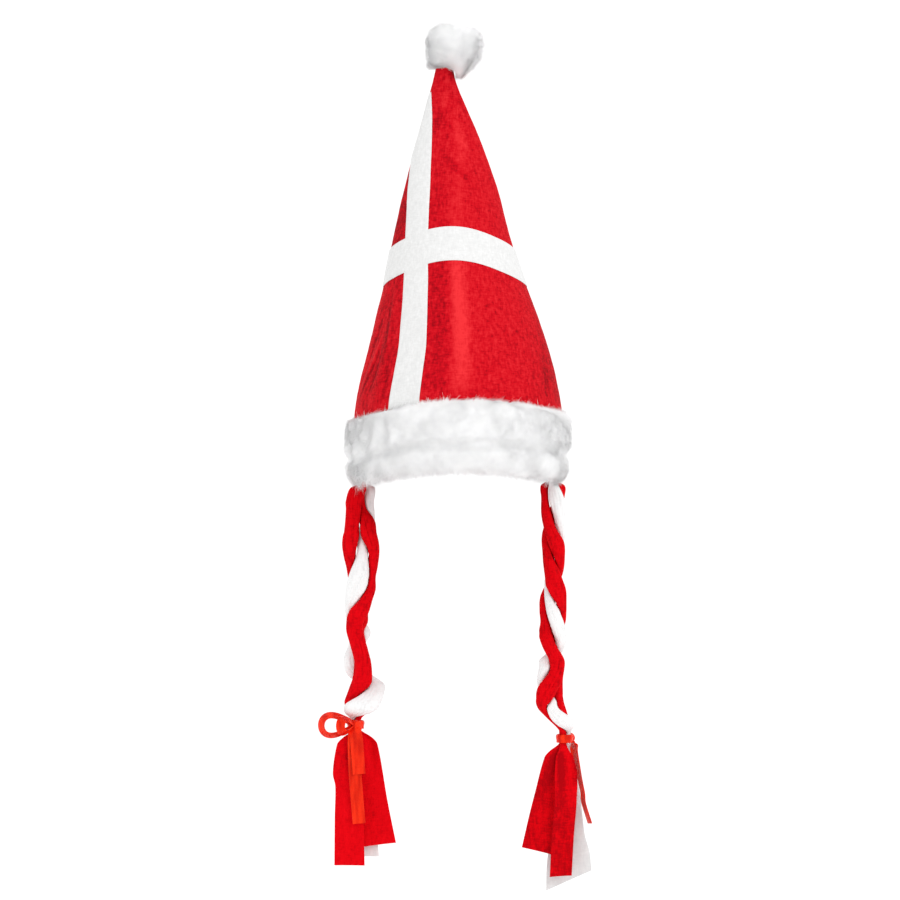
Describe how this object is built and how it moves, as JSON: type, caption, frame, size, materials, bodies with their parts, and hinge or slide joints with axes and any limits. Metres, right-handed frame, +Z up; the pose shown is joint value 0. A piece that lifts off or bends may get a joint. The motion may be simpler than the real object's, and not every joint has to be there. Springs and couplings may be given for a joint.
{
  "type": "santa hat",
  "caption": "Pointed red felt hat with a white cross, white plush band and pompom, and felt braids tied with satin ribbon, worn on the head.",
  "frame": {"origin": "the middle of the rim's opening, where the hat sits on a head", "axes": "+Z up to the tip, -Y the front with the cross, +X to the right as seen from the front"},
  "size_m": [0.2167, 0.2152, 0.6866],
  "materials": {
    "red_felt": "matt pressed felt",
    "braid_felt": "matt pressed felt",
    "white_felt": "matt pressed felt",
    "white_plush": "soft short plush",
    "red_satin": "glossy satin"
  },
  "bodies": {
    "root": {"crown_front": "red_felt", "crown_back": "red_felt", "cross": "white_felt", "band": "white_plush", "pompom": "white_plush", "left_braid_white": "white_felt", "left_braid_red_a": "braid_felt", "left_braid_red_b": "braid_felt", "left_ribbon": "red_satin", "right_braid_white": "white_felt", "right_braid_red_a": "braid_felt", "right_braid_red_b": "braid_felt", "right_ribbon": "red_satin"}
  },
  "joints": []
}
